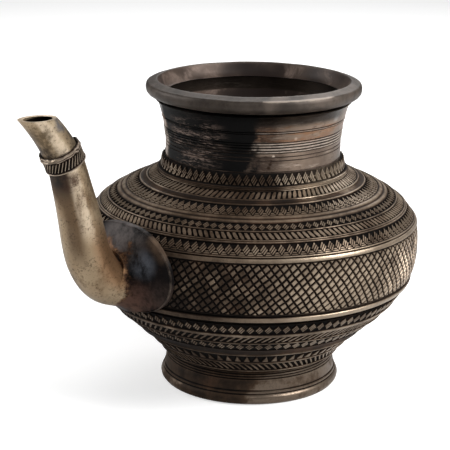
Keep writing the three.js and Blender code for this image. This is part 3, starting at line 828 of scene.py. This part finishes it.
def over_flange(point):
    """Height above the flange's skin: its plate and its sleeve, joined by a fillet."""
    outside = math.hypot(point.x, point.y) - body_radius(point.z)
    plate = outside / math.hypot(1.0, body_slope(point.z)) - PLATE_FACE
    sleeve = min((point - sample).length for sample in sleeve_samples) - SLEEVE_RADIUS
    blend = max(0.0, 1.0 - abs(plate - sleeve) / FILLET)
    return min(plate, sleeve) - blend * blend * FILLET / 4


def settled(point):
    """Moves a point onto the flange's skin."""
    for _ in range(5):
        gap = over_flange(point)
        probes = [point + Vector(step) for step in ((PROBE, 0, 0), (0, PROBE, 0), (0, 0, PROBE))]
        slope = Vector([over_flange(probe) - gap for probe in probes]) / PROBE
        point = point - slope * (gap / max(0.3, slope.length_squared))
    return point


_, sleeve_ahead = on_spout(SLEEVE_END)
sleeve = ring_at(SLEEVE_END, SLEEVE_RADIUS, FLANGE_SIDES)
bend_points = plate_ring(0.4, 2.0)
edge_points = plate_ring(0.94, PLATE_FACE)
rings, wears = [ring_at(SLEEVE_END, 9.6, FLANGE_SIDES)], [0.3]
for step in range(15):
    t = step / 14
    ring = []
    for start, bend, end in zip(sleeve, bend_points, edge_points):
        guide = start - sleeve_ahead * 9.0
        ring.append(settled((1 - t) ** 3 * start + 3 * (1 - t) ** 2 * t * guide + 3 * (1 - t) * t ** 2 * bend
                            + t ** 3 * end))
    rings.append(ring)
    wears.append(0.35)
for share, proud, rubbed in (
    (0.958, 2.0, 0.45), (0.972, 2.25, 1.0), (0.99, 2.2, 1.0), (1.0, PLATE_FACE, 0.8),
    (1.0, PLATE_BACK, 0.1), (0.6, PLATE_BACK, 0.0), (0.02, PLATE_BACK, 0.0),
):
    rings.append(plate_ring(share, proud))
    wears.append(rubbed)
flange = skin(rings, wears)
hand_cut(flange, flange.verts, amount=0.15, size=11.0, seed=31)


def root_share(paint, place):
    """0 on the flange, 1 on the tube: how far the tube's bright skin reaches, with a ragged border."""
    x, z = paint.part(place, "X") * -1000.0, paint.part(place, "Z") * 1000.0
    broad, blotch = paint.speckle(place, 55.0, 3.0), paint.speckle(place, 180.0, 5.0, 0.7)
    along = x + (z - 58.0) * 0.12 + (broad - 0.5) * 8.0 + (blotch - 0.5) * 9.0
    return along.step(52.5, 58.5)


def ragged_side(paint, streak, blotch):
    """-1 at the spout's left in the photograph and 1 at its right, unsteady as a hand-rubbed surface is."""
    return paint.attribute("side") + (streak - 0.5) * 0.35 + (blotch - 0.5) * 0.15


def front_reflection_line(paint, place, streak, blotch):
    """Where the dark reflection down the spout's front is painted as a brown line; higher up it reaches round
    to the left.
    """
    level = paint.part(place, "Z") * 1000.0
    side = ragged_side(paint, streak, blotch)
    left = (side + level.step(97.0, 108.0) * 0.6).step(-0.85, -0.35)
    return left * (1.0 - side.step(-0.08, 0.38)) * paint.window(level, 76.0, 120.0, 7.0)


def spout_skin(paint, place, streak, blotch):
    """Brass kept bright by hands, with a painted highlight palest high on its right and a dark reflection
    painted as a brown line down its front.
    """
    grain = paint.speckle(place, 1100.0, 3.0, 0.7)
    broad = paint.speckle(place, 42.0, 2.0)
    level = paint.part(place, "Z") * 1000.0
    pale = paint.blend(broad.step(0.35, 0.65), (0.31, 0.22, 0.132), (0.5, 0.395, 0.265))
    side = ragged_side(paint, streak, blotch)
    pale = paint.blend((1.0 - level.step(74.0, 94.0)) * 0.45, pale, (0.19, 0.13, 0.075))
    low_right = side.step(0.25, 0.8) * (1.0 - level.step(80.0, 94.0))
    pale = paint.blend(low_right * 0.75, pale, (0.22, 0.11, 0.05))
    # Painted highlight: the palest band, high on the spout's right.
    right_highlight = paint.window(side, 0.1, 0.68, 0.1) * level.step(80.0, 92.0)
    pale = paint.blend(right_highlight * 0.75, pale, (0.66, 0.54, 0.40))
    high = level.step(97.0, 108.0)
    brown = paint.blend(high, (0.085, 0.043, 0.017), (0.026, 0.011, 0.005))
    # The dark reflection down the front is painted in as a brown line.
    line = front_reflection_line(paint, place, streak, blotch)
    pale = paint.blend(line * (high * 0.2 + 0.75), pale, brown)
    stained = paint.blend((streak * 0.75 + blotch * 0.4).step(0.58, 0.76) * 0.7, pale, (0.11, 0.062, 0.03))
    pits = (grain * 0.7 + blotch * 0.4).step(0.56, 0.7)
    return paint.blend(pits * 0.7, stained, (0.06, 0.036, 0.021))


def streaks(paint, place):
    stretched = paint.node("ShaderNodeMapping", {}, {"Vector": place, "Scale": (1.0, 1.0, 0.28)})
    return paint.speckle(stretched, 120.0, 5.0, 0.6, 0.3)


BURNT_PALE = (0.16, 0.085, 0.045)
BURNT_DARK = (0.03, 0.016, 0.011)


def burnt_border(paint, blotch, grain):
    """The burnt brown between the black flange and the bright tube."""
    return paint.blend((blotch * 0.7 + grain * 0.5).step(0.5, 0.7), BURNT_PALE, BURNT_DARK)


# The first two patches are painted highlights, bluish on the sleeve's upper front and grey over the plate's
# top; the rest are brown stains.
FLANGE_STAINS_AND_HIGHLIGHTS = [
    ((-0.0513, -0.0163, 0.0712), 0.0055, 1.0, (0.090, 0.098, 0.115)),
    ((-0.0490, 0.0000, 0.0820), 0.0130, 1.0, (0.110, 0.097, 0.094)),
    ((-0.0453, -0.0216, 0.0822), 0.0055, 1.0, (0.130, 0.088, 0.060)),
    ((-0.0464, -0.0255, 0.0790), 0.0050, 0.9, (0.090, 0.060, 0.042)),
    ((-0.0513, -0.0079, 0.0540), 0.0070, 1.0, (0.110, 0.060, 0.042)),
    ((-0.0500, -0.0145, 0.0545), 0.0080, 0.9, (0.075, 0.040, 0.030)),
    ((-0.0480, -0.0256, 0.0584), 0.0060, 0.8, (0.050, 0.034, 0.028)),
]


def flange_paint():
    paint = Paint("flange_brass")
    place = paint.place()
    broad = paint.speckle(place, 60.0, 3.0)
    blotch = paint.speckle(place, 190.0, 6.0, 0.72)
    grain = paint.speckle(place, 900.0, 3.0, 0.7)
    wear = paint.attribute("wear")
    streak = streaks(paint, place)
    colour = paint.blend(broad.step(0.4, 0.65), (0.0018, 0.0016, 0.0017), (0.007, 0.0055, 0.0055))
    colour = paint.blend((blotch * 0.8 + grain * 0.3).step(0.55, 0.72) * 0.6, colour, (0.035, 0.023, 0.018))
    # Each patch is a stain or a painted highlight.
    for spot, reach, strength, tint in FLANGE_STAINS_AND_HIGHLIGHTS:
        mask = paint.near(place, spot, reach, reach * 0.6) * (blotch * 0.8 + broad * 0.4).step(0.4, 0.75)
        colour = paint.blend(mask * strength, colour, tint)
    low = 1.0 - paint.part(place, "Z").step(0.074, 0.080)
    edge = wear.step(0.62, 0.95) * low * (blotch + 0.2).step(0.5, 0.9)
    colour = paint.blend(edge * 0.6, colour, (0.15, 0.12, 0.095))
    share = root_share(paint, place)
    colour = paint.blend(share.step(0.0, 0.4), colour, burnt_border(paint, blotch, grain))
    colour = paint.blend(share.step(0.4, 0.9), colour, spout_skin(paint, place, streak, blotch))
    normal = paint.bump(blotch + grain * 0.3, 0.3, 0.0004)
    paint.set(Base_Color=colour, Roughness=blotch * 0.5 + 0.12, Metallic=share * 0.75, Normal=normal,
              Specular_IOR_Level=0.024)
    return paint.material


finished(flange, "spout_flange_cast", flange_paint(), ["spout_flange"])


# Spout tube: a cast hollow tube that bends up like a trunk and tapers to the
# rope ring. Hands keep it bright: silvery tan brass with brown streaks that run
# along it, a painted highlight high on its right, and a dark reflection painted
# as a brown line down its front.
TUBE_SIDES = 64
SPOUT_WALL = 1.35
SPIGOT_RADIUS = 9.3
TUBE_START = 0.1573
TUBE_END = 0.707
# Shares of the spout's run, and its outer radius there.
SPOUT_RADII = [
    (0.0, 10.6), (0.157, 10.45), (0.21, 10.2), (0.3, 9.8), (0.44, 9.15), (0.57, 8.2), (0.69, 7.7),
    (0.8, 7.0), (0.92, 6.28), (1.0, 5.87),
]


def spout_radius(share):
    for (low, start), (high, end) in zip(SPOUT_RADII, SPOUT_RADII[1:]):
        if share <= high:
            return start + (end - start) * (share - low) / (high - low)
    return SPOUT_RADII[-1][1]


def spout_brass(name, stains):
    paint = Paint(name)
    place = paint.place()
    streak = streaks(paint, place)
    blotch = paint.speckle(place, 190.0, 6.0, 0.72)
    grain = paint.speckle(place, 900.0, 3.0, 0.7)
    colour = spout_skin(paint, place, streak, blotch)
    for spot, reach, strength, stain in stains:
        mask = paint.near(place, spot, reach, reach * 0.5) * (blotch * 0.9 + streak * 0.5).step(0.55, 0.8)
        colour = paint.blend(mask * strength, colour, stain)
    share = root_share(paint, place)
    colour = paint.blend(1.0 - share.step(0.4, 0.9), colour, burnt_border(paint, blotch, grain))
    colour = paint.blend(1.0 - share.step(0.0, 0.4), colour, (0.006, 0.005, 0.005))
    inner = 1.0 - paint.attribute("wear").step(0.15, 0.4)
    colour = paint.blend(inner, colour, (0.012, 0.009, 0.007))
    # The painted dark reflection line is also made less metallic and rougher.
    line = front_reflection_line(paint, place, streak, blotch)
    paint.set(Base_Color=colour, Roughness=streak * 0.25 + line * 0.25 + 0.25, Metallic=0.75 - line * 0.6,
              Normal=paint.bump(grain * 0.4 + blotch * 0.7), Specular_IOR_Level=0.2)
    return paint.material


tube_rings = [ring_at(share, SPIGOT_RADIUS, TUBE_SIDES) for share in (0.07, 0.1, 0.13, TUBE_START)]
tube_wears = [0.1] * 4
for share in [TUBE_START + (TUBE_END - TUBE_START) * step / 60 for step in range(61)]:
    tube_rings.append(ring_at(share, spout_radius(share), TUBE_SIDES))
    tube_wears.append(0.6)
for share in [0.7 - 0.63 * step / 40 for step in range(41)]:
    tube_rings.append(ring_at(share, min(SPIGOT_RADIUS, spout_radius(share)) - SPOUT_WALL, TUBE_SIDES))
    tube_wears.append(0.1)
tube = skin(tube_rings, tube_wears)
hand_cut(tube, tube.verts, amount=0.15, size=11.0, seed=31)
TUBE_STAINS = [
    ((-0.0808, -0.0065, 0.1096), 0.0040, 0.8, (0.040, 0.013, 0.007)),
    ((-0.0840, -0.0028, 0.1111), 0.0042, 1.0, (0.008, 0.009, 0.008)),
]
finished(tube, "spout_tube_cast", spout_brass("spout_brass", TUBE_STAINS), ["spout_tube"])


# Spout tip: the narrower end above the rope ring, cast hollow like the tube and
# soldered to it, with a mouth that is cut level. The same bright brass, with a
# few dark stains.
MOUTH_LEVEL = 135.9
TIP_START = 0.714
TIP_STEPS = 30
mouth_share = next(step / 1000 for step in range(700, 1000) if on_spout(step / 1000)[0].z > MOUTH_LEVEL)
tip_rings, tip_wears = [], []


def add_tip_ring(step, thin, rubbed):
    """A ring of the tip's skin, which leans from square across the tube to level at the mouth."""
    share = TIP_START + (mouth_share - TIP_START) * step / TIP_STEPS
    lean = max(0.0, (step - 10) / 20) ** 1.3
    tip_rings.append(ring_at(share, spout_radius(share) - thin, TUBE_SIDES, lean))
    tip_wears.append(rubbed)


for step in range(TIP_STEPS + 1):
    add_tip_ring(step, 0.0, 0.6)
for back, thin in ((0.0004, 0.15), (0.0, 0.6), (0.0004, 1.15), (0.0016, 1.6)):
    tip_rings.append(ring_at(mouth_share - back, spout_radius(mouth_share) - thin, TUBE_SIDES, 1.0))
    tip_wears.append(1.0)
for step in range(TIP_STEPS - 2, 0, -1):
    add_tip_ring(step, SPOUT_WALL, 0.1)
tip = skin(tip_rings, tip_wears)
TIP_STAINS = [
    ((-0.0839, -0.0055, 0.1334), 0.0032, 0.8, (0.150, 0.150, 0.165)),
    ((-0.0915, -0.0030, 0.1270), 0.0070, 0.9, (0.110, 0.078, 0.045)),
    ((-0.0790, -0.0035, 0.1290), 0.0042, 0.9, (0.070, 0.056, 0.046)),
    ((-0.0871, -0.0019, 0.1195), 0.0050, 1.0, (0.022, 0.014, 0.010)),
    ((-0.0805, -0.0065, 0.1225), 0.0040, 0.8, (0.030, 0.020, 0.014)),
]
finished(tip, "spout_tip_cast", spout_brass("tip_brass", TIP_STAINS), ["spout_tip"])


# Spout ring: a ferrule that hides the joint of tube and tip, with a rope band
# between a thin bright bead below and a rough twisted wire above. Cast brass,
# dark in the cuts.
RING_SHARE = 0.711
RING_FLOOR = 8.2
RING_COUNT = 36
RING_OUTLINE = [
    (8.0, -3.9, 0.1), (8.45, -3.88, 0.6), (8.8, -3.7, 1.0), (8.85, -3.4, 1.0), (8.6, -3.15, 0.3),
    (8.3, -3.0, 0.0), (8.2, 0.0, 0.0), (8.15, 1.5, 0.0), (8.4, 1.7, 0.2), (8.75, 2.0, 0.7),
    (8.8, 2.4, 0.9), (8.45, 2.75, 0.1), (8.7, 3.05, 0.8), (8.75, 3.35, 1.0), (8.5, 3.7, 0.7),
    (8.15, 3.9, 0.2), (7.75, 3.9, 0.1), (7.9, 0.0, 0.1),
]
rope_ring = turned(RING_OUTLINE, steps=128)
wire = [corner for corner in rope_ring.verts if corner.co.z > 1.6 and corner.co.to_2d().length > 8.0]
hand_cut(rope_ring, wire, amount=0.6, size=1.8, seed=51)
RING_STROKES = [[(-1.0, 0.0), (-0.58, 0.0), (1.0, 1.0), (0.58, 1.0)]]
cut_row(rope_ring, lambda level: (RING_FLOOR, level), -2.7, 1.4, RING_COUNT, RING_STROKES, 0.5, 0.16,
        jitter=0.15, seed=52)
place, ahead = on_spout(RING_SHARE)
across = Vector((ahead.z, 0, -ahead.x))
setting = Matrix((
    (across.x, 0, ahead.x, place.x),
    (across.y, 1, ahead.y, place.y),
    (across.z, 0, ahead.z, place.z),
    (0, 0, 0, 1),
))
bmesh.ops.transform(rope_ring, matrix=setting, verts=rope_ring.verts)
ring_brass = patina("ring_brass", worn=(0.34, 0.275, 0.22), wear_from=0.5, wear_to=1.05, turn_darkening=0.0,
                    rubbed=[((-0.0871, -0.0025, 0.1183), 0.004, 0.5)])
finished(rope_ring, "spout_ring_rope", ring_brass, ["spout_ring"])


# Studio: a plain pale floor under soft lamps, with the camera at the
# photograph's angle: above the rim's level and well back, spout to the left.
floor_mesh = bpy.data.meshes.new("floor")
floor_work = bmesh.new()
bmesh.ops.create_grid(floor_work, x_segments=1, y_segments=1, size=6.0)
floor_work.to_mesh(floor_mesh)
floor_work.free()
floor = bpy.data.objects.new("floor", floor_mesh)
bpy.context.scene.collection.objects.link(floor)
floor_paint = Paint("floor_white")
seen = floor_paint.node("ShaderNodeLightPath", output="Is Camera Ray") * 0.45
glow = floor_paint.node("ShaderNodeCombineXYZ", {}, {0: seen, 1: seen, 2: seen})
floor_paint.set(Base_Color=(0.8, 0.8, 0.8), Roughness=0.9, Emission_Color=glow, Emission_Strength=1.0)
floor_mesh.materials.append(floor_paint.material)

world = bpy.data.worlds.new("studio")
bpy.context.scene.world = world
world.use_nodes = True
sky = world.node_tree.nodes["Background"]
sky.inputs["Color"].default_value = (1.0, 1.0, 1.0, 1.0)
rays = world.node_tree.nodes.new("ShaderNodeLightPath")
strength = world.node_tree.nodes.new("ShaderNodeMapRange")
strength.inputs["To Min"].default_value = 0.12
strength.inputs["To Max"].default_value = 1.0
world.node_tree.links.new(rays.outputs["Is Camera Ray"], strength.inputs["Value"])
world.node_tree.links.new(strength.outputs["Result"], sky.inputs["Strength"])

PHOTO_TURN = math.radians(VIEW_START - 180.0)


def in_photo(x, y, z):
    """A place given from the pot's axis, x to the photograph's right and y away, in metres."""
    return Vector((
        POT_AXIS_X + x * math.cos(PHOTO_TURN) - y * math.sin(PHOTO_TURN),
        x * math.sin(PHOTO_TURN) + y * math.cos(PHOTO_TURN),
        z,
    ))


def lamp(name, place, aim, size, power):
    light = bpy.data.lights.new(name, "AREA")
    light.size = size
    light.energy = power
    made = bpy.data.objects.new(name, light)
    made.location = place
    made.rotation_euler = (aim - place).to_track_quat("-Z", "Y").to_euler()
    bpy.context.scene.collection.objects.link(made)


aim = in_photo(0, 0, 0.07)
lamp("key_lamp", in_photo(0.85, -0.35, 0.75), aim, 0.55, 16.0)
lamp("side_lamp", in_photo(-0.9, 0.1, 0.5), aim, 0.6, 6.0)
lamp("back_lamp", in_photo(0.1, 0.9, 0.9), aim, 0.8, 7.0)
lamp("front_lamp", in_photo(-0.15, -1.1, 0.8), aim, 0.5, 2.2)

camera_data = bpy.data.cameras.new("camera")
camera_data.sensor_fit = "HORIZONTAL"
camera_data.sensor_width = 36.0
camera_data.lens = 126.24
camera_data.clip_start = 0.01
camera = bpy.data.objects.new("camera", camera_data)
tilt, yaw, roll = math.radians(15.77), math.radians(-1.0), math.radians(0.72)
level_run = math.cos(tilt)
ahead = in_photo(math.sin(yaw) * level_run, math.cos(yaw) * level_run, -math.sin(tilt)) - in_photo(0, 0, 0)
right = ahead.cross(Vector((0, 0, 1))).normalized()
up = right.cross(ahead)
turned_right = right * math.cos(roll) + up * math.sin(roll)
turned_up = up * math.cos(roll) - right * math.sin(roll)
place = in_photo(0, -0.6916, 0.2668)
camera.matrix_world = Matrix((
    (turned_right.x, turned_up.x, -ahead.x, place.x),
    (turned_right.y, turned_up.y, -ahead.y, place.y),
    (turned_right.z, turned_up.z, -ahead.z, place.z),
    (0, 0, 0, 1),
))
bpy.context.scene.collection.objects.link(camera)
bpy.context.scene.camera = camera
bpy.context.scene.view_settings.view_transform = "Standard"
